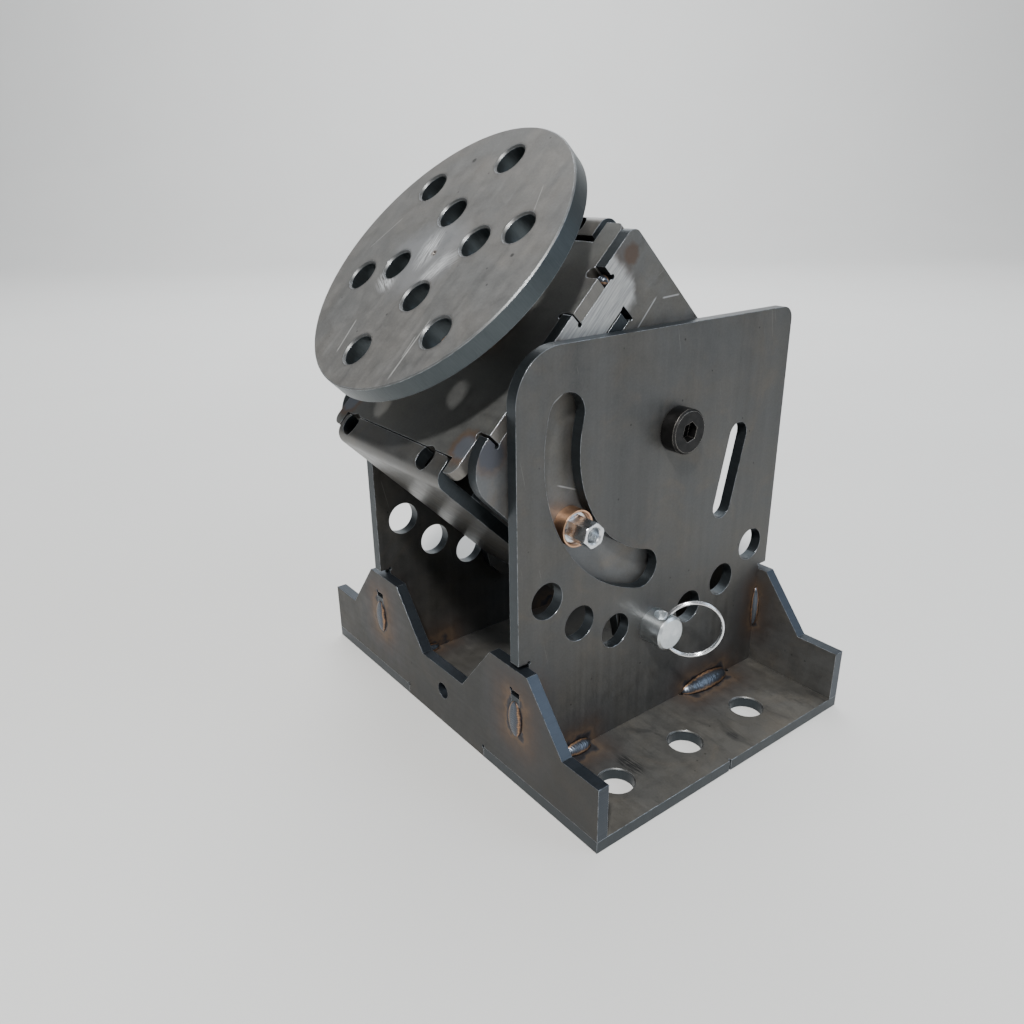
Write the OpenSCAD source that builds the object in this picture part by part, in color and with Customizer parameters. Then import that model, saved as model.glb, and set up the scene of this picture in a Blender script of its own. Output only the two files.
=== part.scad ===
// Tilting rotary table for a fixture bench: laser-cut and welded plate stand,
// a cradle that tilts between two uprights, and a round hole-pattern faceplate
// that turns in the cradle.
//
// Frame: millimetres, +Z up.  The origin is the centre of the base plate's
// underside.  +X runs along the tilt axis, -Y is the side the faceplate faces.

/* [Base] */
// width of the base along the tilt axis
base_w = 254; // [220:1:300]
// depth of the base, front to rear
base_d = 187.4; // [160:0.1:240]
// thickness of every laser-cut plate
plate_t = 6.35; // [4:0.05:10]
// pitch of the fixture-bench holes
pitch = 50.8; // [40:0.1:60]
// diameter of the base mounting holes
base_hole_d = 18.4; // [12:0.1:20]
// distance of the hole rows from the base centre, in X
base_hole_x = 101.6; // [80:0.1:115]
// offset of the middle mounting holes towards the front
base_hole_off = 6.35; // [0:0.05:12]

/* [End plates] */
// height of the plain band of the front and rear plates
band_z = 36; // [28:0.5:45]
// height of the two humps that carry the uprights
hump_z = 68.3; // [55:0.1:80]
// centre of each hump, from the middle of the plate
hump_x = 60.9; // [50:0.1:75]
// width of a hump at its top
hump_top_w = 30; // [20:1:50]
// width of a hump at its foot
hump_foot_w = 82; // [60:1:95]
// diameter of the small round hole in the front plate
front_hole_d = 9.5; // [5:0.5:14]

/* [Uprights] */
// clear distance between the two uprights
inner_gap = 127; // [110:0.5:150]
// height of the uprights above the bench
upright_z = 222; // [190:1:260]
// corner radius at the top front of an upright
front_r = 25; // [5:1:40]
// corner radius at the top rear of an upright
rear_r = 7; // [2:1:20]
// tilt axis, distance behind the base centre
pivot_y = 7; // [0:0.1:20]
// tilt axis, height above the bench
pivot_z = 170.5; // [140:0.1:200]
// radius of the index hole row about the tilt axis
index_r = 108.5; // [95:0.1:115]
// diameter of the index holes
index_d = 19.05; // [12:0.05:20]
// angle between neighbouring index holes
index_step = 15; // [10:1:20]
// centre radius of the lock slot about the tilt axis
slot_r = 74.3; // [65:0.1:85]
// width of the lock slot
slot_w = 21.2; // [14:0.1:26]
// length of the plain lightening slot
window_l = 54; // [30:1:70]
// width of the plain lightening slot
window_w = 14; // [8:0.5:20]

/* [Cradle] */
// tilt of the faceplate from level
tilt_deg = 45; // [0:5:90]
// outside width of the cradle
cradle_w = 125.2; // [100:0.1:126]
// height of the cradle's top face over the tilt axis
top_n = 88; // [70:0.5:100]
// height of the lower bearing plate's top face over the tilt axis
lower_n = 65.6; // [50:0.1:72]
// how far the side plates reach forward of the tilt axis
front_v = 89; // [70:1:100]
// how far the side plates reach back from the tilt axis
rear_v = 50; // [40:1:70]
// half width of the formed front plate
nose_hw = 47.5; // [40:0.5:54]
// half width of the formed rear plate
tail_hw = 40.5; // [30:0.5:50]
// lowest edge of the formed front plate, from the tilt axis
nose_bot = -45; // [-60:1:0]
// lowest edge of the formed rear plate, from the tilt axis
tail_bot = 30; // [0:1:55]

/* [Faceplate] */
// diameter of the faceplate
face_d = 152.4; // [120:0.1:200]
// thickness of the faceplate
face_t = 9.5; // [6:0.5:16]
// height of the faceplate's working face over the tilt axis
face_n = 126.5; // [100:0.5:140]
// offset of the spindle axis from the tilt axis, towards the front
spin_off = 5.5; // [0:0.1:12]
// diameter of the ten faceplate holes
face_hole_d = 16; // [10:0.1:18]
// turn of the faceplate's hole pattern at rest
face_turn = 20.4; // [0:0.1:90]
// spindle diameter
spindle_d = 25.4; // [16:0.1:32]

/* [Hardware] */
// head diameter of the tilt pivot screws
pivot_head_d = 23; // [16:0.5:30]
// head height of the tilt pivot screws
pivot_head_h = 9; // [5:0.5:16]
// outer diameter of the bronze lock sleeve
sleeve_d = 18.7; // [12:0.1:21]
// across-flats size of the hex lock post
post_af = 11.4; // [8:0.1:14]
// diameter of the index pin
pin_d = 18.9; // [11:0.05:19]
// how far the index pin stands out of the upright
pin_out = 14.1; // [8:0.1:30]
// mean diameter of the pull ring
ring_d = 32; // [20:0.5:50]
// wire diameter of the pull ring
wire_d = 1.6; // [1:0.1:3]

/* [Hidden] */
$fn = 96;
e = 0.2;                            // working clearance of a welded tab
in_x = inner_gap / 2;               // inner face of an upright
out_x = in_x + plate_t;             // outer face of an upright
by = base_d / 2;                    // front and rear faces of the base
py = by - plate_t;                  // inner faces of the end plates
cr_x = cradle_w / 2;                // outer face of a cradle side plate
ci_x = cr_x - plate_t;              // inner face of a cradle side plate
lock_deg = 165;                     // lock post, from the cradle's +V
pin_deg = 220;                      // cradle index hole, from the cradle's +V
tab_z = [34, 53];                   // upright tabs through the end plates
foot_tabs = [[-84, -49], [25, 65.5]];
top_tabs = [[-66, -42], [-0.5, 19]]; // top plate tabs, along V
tab_notches = [[-67.4, -41.4], [-1.4, 25.5]];   // their notches
tab_reliefs = [[-67.8, 2], [-40.2, 2], [-2.3, 1.8], [21.8, 2.8]];
side_front_r = 20;                  // top front corner of a cradle side
row_off = -3.8;                     // the formed plates' holes sit off centre
low_tab = [-9, 18];                 // lower plate tab, along V
finger_x = 38.1;                    // half width of the end plates' foot finger
bend_r = 7;                         // outside radius of the formed plates
pin_end = out_x + pin_out;
ring_x = pin_end - 6.2;             // cross hole of the index pin
hole4 = 265;                        // index hole in use, about the tilt axis
ring_lay = 53;                      // way the ring lies, from +X towards +Y
pin_y = pivot_y + index_r * cos(hole4);
pin_z = pivot_z + index_r * sin(hole4);
lock_v = slot_r * cos(lock_deg);
lock_n = slot_r * sin(lock_deg);
face_back = face_n - face_t;

steel = [0.40, 0.39, 0.37];
edge = [0.24, 0.26, 0.28];
bead = [0.38, 0.42, 0.48];
zinc = [0.80, 0.82, 0.83];
bronze = [0.80, 0.55, 0.38];
black = [0.17, 0.17, 0.18];

// ---------- helpers ----------

// plate in the YZ plane, growing along +X
module plate_x(x, t) translate([x, 0, 0]) rotate([90, 0, 90])
    linear_extrude(t) children();

// plate in the XZ plane, growing along -Y from y
module plate_y(y, t) translate([0, y, 0]) rotate([90, 0, 0])
    linear_extrude(t) children();

// place a cradle shape, whose Y is V (up the faceplate) and Z its normal
module cradle() translate([0, pivot_y, pivot_z]) rotate([tilt_deg, 0, 0])
    children();

// both sides of the stand or cradle
module both() { children(); mirror([1, 0, 0]) children(); }

// cylinder along X from x0 to x1
module rod_x(x0, x1, d, fn = 96) translate([x0, 0, 0]) rotate([0, 90, 0])
    cylinder(h = x1 - x0, d = d, $fn = fn);

// cone along X
module cone_x(x0, x1, d0, d1) translate([x0, 0, 0]) rotate([0, 90, 0])
    cylinder(h = x1 - x0, d1 = d0, d2 = d1);

// what a rounded corner takes away; the corner is at the origin, the
// plate lies towards -X -Y
module corner_cut(r) difference() {
    translate([-r, -r]) square(r + 1);
    translate([-r, -r]) circle(r);
}

// 2-D slot of overall length l and width w, along +Y, centred
module slot_2d(l, w) {
    square([w, l - w], center = true);
    for (s = [-1, 1]) translate([0, s * (l - w) / 2]) circle(d = w);
}

// 2-D arc slot about the origin from angle a0 to a1 (quarter turn)
module arc_slot(r, w, a0, a1) {
    intersection() {
        difference() { circle(r + w / 2); circle(r - w / 2); }
        polygon([[0, 0], 200 * [cos(a0), sin(a0)],
                 200 * [cos((a0 + a1) / 2), sin((a0 + a1) / 2)],
                 200 * [cos(a1), sin(a1)]]);
    }
    for (a = [a0, a1]) translate(r * [cos(a), sin(a)]) circle(d = w);
}

// spindle-shaped bead of length l and half width r, along Z
module long_bead(l, r) {
    rr = (l * l / 4 + r * r) / (2 * r);
    rotate_extrude() intersection() {
        translate([r - rr, 0]) circle(rr, $fn = 180);
        translate([0.02, -l / 2]) square([r, l]);
    }
}

// fillet bead in the corner of two walls that meet along Y; the walls are
// x = 0 and z = 0, the bead is in x > 0, z > 0
module fillet_bead(l, leg) {
    a = (l * l / 4 - leg * leg) / (2 * leg);
    intersection() {
        translate([-a, 0, -a]) sphere(sqrt(l * l / 4 + 2 * a * a), $fn = 128);
        translate([0, -l, 0]) cube([3 * leg, 2 * l, 3 * leg]);
    }
}

// ---------- stand ----------

module base_plate() color(steel) difference() {
    translate([-base_w / 2, -by, 0]) cube([base_w, base_d, plate_t]);
    // mounting holes on the bench pitch, with broken edges
    for (x = [-1, 1], k = [-1, 0, 1])
        translate([x * base_hole_x, k * pitch - base_hole_off, 0]) {
            translate([0, 0, -1]) cylinder(h = plate_t + 2, d = base_hole_d);
            translate([0, 0, plate_t - 0.5])
                cylinder(h = 0.6, d1 = base_hole_d, d2 = base_hole_d + 1.2);
        }
    // finger notches for the end plates
    for (s = [-1, 1])
        translate([-finger_x - e, s > 0 ? py - e / 2 : -by - 1, -1])
            cube([2 * (finger_x + e), plate_t + 1 + e / 2, plate_t + 2]);
    // upright foot slots with round reliefs
    for (x = [-1, 1], t = foot_tabs) {
        translate([x * (in_x + plate_t / 2), (t[0] + t[1]) / 2, plate_t / 2])
            cube([plate_t + e, t[1] - t[0] + e, plate_t + 2], center = true);
        for (y = t) translate([x * (out_x + 0.4), y, -1])
            cylinder(h = plate_t + 2, r = 1.3, $fn = 32);
    }
    // alignment nicks in the middle of the end edges
    for (x = [-1, 1]) translate([x * base_w / 2, 0, plate_t / 2])
        cube([2.4, 1.2, plate_t + 2], center = true);
}

module end_outline() {
    a = hump_foot_w / 2;
    b = hump_top_w / 2;
    polygon([[-base_w / 2, plate_t], [-finger_x, plate_t], [-finger_x, 0],
             [finger_x, 0], [finger_x, plate_t], [base_w / 2, plate_t],
             [base_w / 2, band_z],
             [hump_x + a, band_z], [hump_x + b, hump_z],
             [hump_x - b, hump_z], [hump_x - a, band_z],
             [a - hump_x, band_z], [b - hump_x, hump_z],
             [-b - hump_x, hump_z], [-a - hump_x, band_z],
             [-base_w / 2, band_z]]);
}

module end_slots() for (x = [-1, 1]) {
    w = plate_t + e;
    translate([x * (in_x + plate_t / 2) - w / 2, tab_z[0] - e / 2])
        square([w, tab_z[1] - tab_z[0] + e / 2 + 3]);
    for (z = [tab_z[0] - e / 2, tab_z[1] + 3])
        translate([x * (in_x + plate_t / 2) - w / 2, z]) circle(1, $fn = 32);
}

module front_plate() color(steel) plate_y(-py, plate_t) difference() {
    end_outline();
    end_slots();
    translate([0, 21.5]) circle(d = front_hole_d);
    for (x = [-1, 1]) translate([x * finger_x, plate_t]) circle(1.2, $fn = 32);
}

module rear_plate() color(steel) plate_y(by, plate_t) difference() {
    end_outline();
    end_slots();
    for (x = [-1, 1]) translate([x * finger_x, plate_t]) circle(1.2, $fn = 32);
}

module upright() plate_x(in_x, plate_t) difference() {
    union() {
        translate([-py, plate_t]) square([2 * py, upright_z - plate_t]);
        translate([-by, hump_z + 3]) square([base_d, upright_z - hump_z - 3]);
        translate([-by, tab_z[0]]) square([base_d, tab_z[1] - tab_z[0]]);
        for (t = foot_tabs) translate([t[0], 0]) square([t[1] - t[0], 10]);
    }
    translate([-by, upright_z]) mirror([1, 0]) corner_cut(front_r);
    translate([by, upright_z]) corner_cut(rear_r);
    for (s = [-1, 1]) translate([s * py, hump_z + 3]) circle(1, $fn = 32);
    translate([pivot_y, pivot_z]) {
        circle(d = 20);
        arc_slot(slot_r, slot_w, lock_deg, lock_deg + 90);
        for (k = [0 : 6]) rotate(pin_deg + k * index_step)
            translate([index_r, 0]) circle(d = index_d);
    }
    translate([52.5, 138]) rotate(-13) slot_2d(window_l, window_w);
}

module upright_right() color(steel) upright();
module upright_left() color(steel) mirror([1, 0, 0]) upright();

// beads that close the upright tabs on the outside of the end plates
module plug_welds() color(bead) both() for (s = [-1, 1])
    translate([in_x + plate_t / 2, s * by, (tab_z[0] + tab_z[1]) / 2 - 3.5])
        intersection() {
            translate([0, -7.9 * s, 0]) long_bead(44.4, 9.8);
            translate([0, s * 10, 0]) cube([20, 20, 50], center = true);
        }

// fillet beads between uprights, base and end plates
module base_welds() color(bead) both() {
    for (b = [[-56, 19, 6.2], [44.5, 38, 8.5]])
        translate([out_x, b[0], plate_t]) fillet_bead(b[1], b[2]);
    for (y = [-66, 60])
        translate([in_x, y, plate_t]) mirror([1, 0, 0]) fillet_bead(20, 5);
    // upright corners, standing along Z
    translate([out_x, py, 43]) rotate([90, 0, 0]) fillet_bead(26, 4);
    translate([in_x, -py, 40]) rotate([-90, 180, 0]) fillet_bead(24, 4);
}

module pivot_bushings() color(bronze) both()
    translate([0, pivot_y, pivot_z]) difference() {
        rod_x(in_x, out_x, 20);
        rod_x(in_x - 1, out_x + 1, 16);
    }

// ---------- cradle ----------

module cradle_side_2d() difference() {
    polygon([[-front_v, top_n], [rear_v, top_n], [rear_v, 8],
             [33, -22], [-8, -42], [-66, -83], [-76, -87.5],
             [-91, -86], [-99.5, -76], [-99.5, -63], [-front_v, -46]]);
    translate([-front_v, top_n]) mirror([1, 0]) corner_cut(side_front_r);
    translate([rear_v, top_n]) corner_cut(5);
    circle(d = 14);
    translate([lock_v, lock_n]) circle(d = 10);
    translate(index_r * [cos(pin_deg), sin(pin_deg)]) circle(d = index_d);
    // open notches for the top plate tabs
    for (t = tab_notches) {
        translate([t[0], top_n - plate_t - e / 2])
            square([t[1] - t[0], plate_t + 1]);
        for (v = t) translate([v, top_n - plate_t]) circle(1.2, $fn = 32);
    }
    // closed slot for the lower plate tab
    translate([low_tab[0] - e, lower_n - plate_t - e / 2])
        square([low_tab[1] - low_tab[0] + 3.5, plate_t + e + 0.8]);
    translate([low_tab[1] + 2.4, lower_n - plate_t / 2])
        square([1.6, plate_t + 2.6], center = true);
}

module cradle_side() plate_x(ci_x, plate_t) cradle_side_2d();
module cradle_side_right() color(steel) cradle() cradle_side();
module cradle_side_left() color(steel) cradle() mirror([1, 0, 0])
    cradle_side();

// slots shared by the formed plates and the top plate
module edge_slots() {
    for (x = [-35.6, 35.6]) translate([x + row_off, -86.2])
        slot_2d(12.2, 11);
    for (x = [-29, 29]) translate([x + row_off, 47.5]) slot_2d(11.4, 10.4);
}

module cradle_top_plate() color(steel) cradle()
    translate([0, 0, top_n - plate_t]) linear_extrude(plate_t) difference() {
        union() {
            translate([-ci_x, -front_v]) square([2 * ci_x, front_v + rear_v]);
            for (t = top_tabs) translate([-cr_x, t[0]])
                square([2 * cr_x, t[1] - t[0]]);
        }
        for (s = [0, 1]) mirror([s, 0]) {
            translate([ci_x, -front_v]) mirror([0, 1]) corner_cut(5.5);
            translate([ci_x, rear_v]) corner_cut(4);
            for (r = tab_reliefs) translate([ci_x, r[0]])
                circle(r[1], $fn = 32);
        }
        translate([-nose_hw - 1.5, -front_v - 1])
            square([2 * nose_hw + 3, 8.8]);
        translate([-tail_hw - 4, rear_v - 11.5])
            square([2 * tail_hw + 8, 20]);
        translate([0, -spin_off]) circle(d = spindle_d + 8);
        edge_slots();
    }

module cradle_lower_plate() color(steel) cradle()
    translate([0, 0, lower_n - plate_t]) linear_extrude(plate_t) difference() {
        union() {
            translate([-ci_x, -62]) square([2 * ci_x, 100]);
            translate([-cr_x, low_tab[0]])
                square([2 * cr_x, low_tab[1] - low_tab[0]]);
            translate([-nose_hw, -front_v]) square([2 * nose_hw, 40]);
            translate([-tail_hw, 0]) square([2 * tail_hw, rear_v]);
        }
        translate([0, -spin_off]) circle(d = spindle_d + 8);
    }

// profile of a formed plate in V-N: face outside at v = 0, flange back
module formed_2d(flange, bot) {
    square_top = top_n - bend_r;
    difference() {
        union() {
            translate([0, bot]) square([plate_t, square_top - bot]);
            translate([bend_r, top_n - plate_t])
                square([flange - bend_r, plate_t]);
            intersection() {
                translate([bend_r, square_top]) circle(bend_r);
                square([bend_r, top_n]);
            }
        }
        translate([plate_t, bot - 1])
            square([flange, top_n - plate_t - bot + 1]);
    }
}

// small end radii of the formed plates, seen square to the face
module face_corner_cuts(hw, bot, y) for (s = [0, 1]) mirror([s, 0, 0])
    translate([hw, y, bot]) rotate([90, 0, 0])
        translate([0, 0, -20]) linear_extrude(40)
            mirror([0, 1]) corner_cut(5);

module cradle_front_plate() color(steel) cradle() difference() {
    translate([-nose_hw, -front_v - plate_t, 0])
        rotate([90, 0, 90]) linear_extrude(2 * nose_hw)
            formed_2d(13.55, nose_bot);
    face_corner_cuts(nose_hw, nose_bot, -front_v);
    // round back corners of the flange
    for (s = [0, 1]) mirror([s, 0, 0])
        translate([nose_hw, -front_v - plate_t + 13.55, top_n - plate_t - 1])
            linear_extrude(plate_t + 2) corner_cut(3);
    translate([0, 0, top_n - plate_t - 2]) linear_extrude(plate_t + 4)
        edge_slots();
}

module cradle_rear_plate() color(steel) cradle() difference() {
    translate([-tail_hw, rear_v + plate_t, 0]) mirror([0, 1, 0])
        rotate([90, 0, 90]) linear_extrude(2 * tail_hw)
            formed_2d(14.3, tail_bot);
    face_corner_cuts(tail_hw, tail_bot, rear_v);
    translate([0, 0, top_n - plate_t - 2]) linear_extrude(plate_t + 4)
        edge_slots();
}

// beads of the cradle: front corners, rear tabs, and inside the box
module cradle_welds() color(bead) cradle() both() {
    // dab in the notch behind the rear tab
    translate([cr_x - 3.2, 22.2, top_n - plate_t + 0.6]) intersection() {
        sphere(3.4, $fn = 64);
        translate([-4, -3, -0.7]) cube([8, 6.2, 6]);
    }
    // fillets under the top plate and on the lower plate
    translate([ci_x, -70, top_n - plate_t]) rotate([0, 180, 0])
        fillet_bead(18, 4.5);
    translate([ci_x, -20, top_n - plate_t]) rotate([0, 180, 0])
        fillet_bead(26, 4);
    translate([ci_x, 30, lower_n - plate_t]) rotate([0, 180, 0])
        fillet_bead(14, 4);
    translate([ci_x, -48, lower_n]) mirror([1, 0, 0]) fillet_bead(22, 4);
}

// ---------- tilt pivot and lock ----------

module pivot_screws() color(black) cradle() both() difference() {
    union() {
        rod_x(out_x + 0.3, out_x + 0.3 + pivot_head_h - 1, pivot_head_d);
        cone_x(out_x + pivot_head_h - 0.7, out_x + pivot_head_h + 0.3,
               pivot_head_d, pivot_head_d - 2);
        rod_x(cr_x, out_x + 0.3, 15.86);
        rod_x(38, cr_x, 14);
    }
    rod_x(out_x + pivot_head_h - 4.7, out_x + pivot_head_h + 1, 10.6, 6);
}

module pivot_nuts() color(zinc) cradle() both() difference() {
    rod_x(ci_x - 12, ci_x, 27.7, 6);
    rod_x(ci_x - 13, ci_x + 1, 14);
}

module pivot_washers() color(bronze) cradle() both() difference() {
    rod_x(cr_x, cr_x + 0.7, 32);
    rod_x(cr_x - 1, cr_x + 2, 16.2);
}

module at_lock() cradle() translate([0, lock_v, lock_n]) children();

module lock_studs() color(zinc) at_lock() both() {
    rod_x(ci_x - 6, ci_x, 17.3, 6);
    rod_x(ci_x, 66, 10);
    rod_x(66, 75, 6);
}

module lock_sleeves() color(bronze) at_lock() both() difference() {
    rod_x(cr_x, out_x + 0.2, sleeve_d);
    rod_x(cr_x - 1, out_x + 2, sleeve_d - 2.6);
    cone_x(out_x - 0.4, out_x + 0.3, sleeve_d - 2.6, sleeve_d - 1.2);
}

module lock_washers() color(zinc) at_lock() both() difference() {
    rod_x(66.2, 67.6, sleeve_d - 3);
    rod_x(65, 69, 6.4);
}

module lock_post() difference() {
    intersection() {
        rod_x(67.8, 81.4, post_af / cos(30), 6);
        cone_x(67.8, 81.4, 34, post_af + 0.9);
    }
    rod_x(60, 75.3, 6.16);
    rod_x(75.3, 82, 7.4);
    cone_x(80.6, 81.5, 7.4, 9.2);
}

module lock_post_right() color(zinc) at_lock() lock_post();
module lock_post_left() color(zinc) at_lock() mirror([1, 0, 0]) lock_post();

// ---------- spindle and faceplate ----------

module at_spin() cradle() translate([0, -spin_off, 0]) children();

// hole pattern: ten places on a half-pitch grid
function face_xy() = [for (p = [[1, 0], [0, 1], [-1, 0], [0, -1],
    [2, 0], [-2, 0], [1, 2], [-1, 2], [-1, -2], [1, -2]]) p * pitch / 2];

module faceplate() color(steel) at_spin() rotate([0, 0, face_turn])
    difference() {
        union() {
            translate([0, 0, face_back])
                cylinder(h = face_t - 0.6, d = face_d, $fn = 180);
            translate([0, 0, face_n - 0.6])
                cylinder(h = 0.6, d1 = face_d, d2 = face_d - 1.2, $fn = 180);
        }
        for (p = face_xy()) translate([p[0], p[1], 0]) {
            translate([0, 0, face_back - 1])
                cylinder(h = face_t + 2, d = face_hole_d);
            translate([0, 0, face_n - 0.9])
                cylinder(h = 1, d1 = face_hole_d, d2 = face_hole_d + 2);
        }
        // centre punch mark
        translate([0, 0, face_n - 0.8]) cylinder(h = 1, d1 = 0.6, d2 = 2.4);
    }

module hub_flange() color(steel) at_spin() difference() {
    union() {
        translate([0, 0, top_n + 3]) cylinder(h = 12, d = 44);
        translate([0, 0, top_n + 15]) cylinder(h = face_back - top_n - 15, d = 34);
    }
    translate([0, 0, 60]) cylinder(h = 70, d = spindle_d);
}

module spindle_shaft() color(zinc) at_spin() union() {
    translate([0, 0, 42]) cylinder(h = 1.5, d1 = spindle_d - 3, d2 = spindle_d);
    translate([0, 0, 43.5]) cylinder(h = face_back - 43.5, d = spindle_d);
}

module thrust_washer() color(bronze) at_spin() difference() {
    translate([0, 0, top_n + 0.6]) cylinder(h = 2, d = 52);
    translate([0, 0, top_n]) cylinder(h = 4, d = spindle_d + 0.6);
}

module spindle_bushings() color(bronze) at_spin() for (n = [top_n, lower_n])
    difference() {
        translate([0, 0, n - plate_t])
            cylinder(h = plate_t, d = spindle_d + 8);
        translate([0, 0, n - plate_t - 1])
            cylinder(h = plate_t + 2, d = spindle_d + 0.14);
    }

module stop_collar() color(zinc) at_spin() difference() {
    translate([0, 0, 44]) cylinder(h = 14, d = 44);
    translate([0, 0, 43]) cylinder(h = 16, d = spindle_d);
    for (a = [0, 120, 240]) rotate(a) translate([0, 0, 51])
        rotate([0, 90, 0]) cylinder(h = 30, d = 6);
}

module collar_screws() color(black) at_spin() for (a = [0, 120, 240])
    rotate(a) translate([0, 0, 51]) difference() {
        rod_x(spindle_d / 2 + 0.05, 20.5, 6, 48);
        rod_x(18, 22, 3.4, 6);
    }

// ---------- index pin ----------

module at_pin() translate([0, pin_y, pin_z]) children();

module index_pin() color(zinc) at_pin() difference() {
    union() {
        rod_x(in_x + 0.1, pin_end - 1.2, pin_d);
        cone_x(pin_end - 1.2, pin_end, pin_d, pin_d - 2.4);
    }
    // cross hole, flared so the ring can swing
    translate([ring_x, 0, 0]) {
        cylinder(h = 40, d = 4.8, center = true);
        for (s = [0, 1]) mirror([0, 0, s]) translate([0, 0, 1.2])
            cylinder(h = 9, d1 = 4.2, d2 = 10.4);
    }
}

module pull_ring() color(zinc) at_pin() translate([ring_x, 0, 0])
    rotate([0, 0, ring_lay]) translate([ring_d / 2, 0, 0])
        for (s = [-1, 1]) translate([0, s * wire_d * 0.46, 0])
            rotate([90, 0, 0]) rotate_extrude($fn = 120)
                translate([ring_d / 2, 0]) circle(d = wire_d, $fn = 24);

base_plate();
front_plate();
rear_plate();
upright_left();
upright_right();
plug_welds();
base_welds();
pivot_bushings();
cradle_top_plate();
cradle_lower_plate();
cradle_side_left();
cradle_side_right();
cradle_front_plate();
cradle_rear_plate();
cradle_welds();
pivot_screws();
pivot_nuts();
pivot_washers();
lock_studs();
lock_sleeves();
lock_washers();
spindle_bushings();
faceplate();
hub_flange();
spindle_shaft();
thrust_washer();
stop_collar();
collar_screws();
lock_post_left();
lock_post_right();
index_pin();
pull_ring();
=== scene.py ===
import math
import bpy
from mathutils import Matrix, Vector


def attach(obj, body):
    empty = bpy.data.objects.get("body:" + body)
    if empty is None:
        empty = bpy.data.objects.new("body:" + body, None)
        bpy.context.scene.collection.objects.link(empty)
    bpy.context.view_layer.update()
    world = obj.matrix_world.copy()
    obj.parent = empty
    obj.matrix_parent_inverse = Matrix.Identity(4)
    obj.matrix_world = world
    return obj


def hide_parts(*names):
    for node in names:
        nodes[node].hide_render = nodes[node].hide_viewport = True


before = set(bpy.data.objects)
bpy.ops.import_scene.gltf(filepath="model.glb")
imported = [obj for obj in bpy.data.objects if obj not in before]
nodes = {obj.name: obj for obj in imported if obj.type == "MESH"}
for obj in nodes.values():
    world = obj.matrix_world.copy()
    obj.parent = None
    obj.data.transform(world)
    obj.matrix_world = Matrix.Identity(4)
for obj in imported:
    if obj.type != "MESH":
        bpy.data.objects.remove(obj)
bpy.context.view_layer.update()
MM = 0.001

# ---------------------------------------------------------------- CAD facts
TILT = math.radians(45)
FACE_TURN = math.radians(20.4)                # turn of the hole pattern
HALF_PITCH = 25.4                             # half the bench's hole pitch
SPIN_OFF = 5.5                                # spindle axis before the pivot
PLATE_TOP = 6.35                              # top of the base plate
IN_X, OUT_X = 63.5, 69.85                     # faces of an upright
UPRIGHT_X = 66.7                              # middle of an upright
END_Y = 93.7                                  # outer face of an end plate
CRADLE_IN_X = 56.25                           # inner face of a cradle side
TOP_UNDER_N = 81.65                           # underside of the top plate
LOWER_TOP_N, LOWER_UNDER_N = 65.6, 59.25      # faces of the lower plate
X = (1.0, 0.0, 0.0)
Y = (0.0, 1.0, 0.0)
Z = (0.0, 0.0, 1.0)
V = (0.0, math.cos(TILT), math.sin(TILT))     # up the cradle's top plate
N = (0.0, -math.sin(TILT), math.cos(TILT))    # the cradle's normal
PIVOT = (0.0, 7.0, 170.5)


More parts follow.
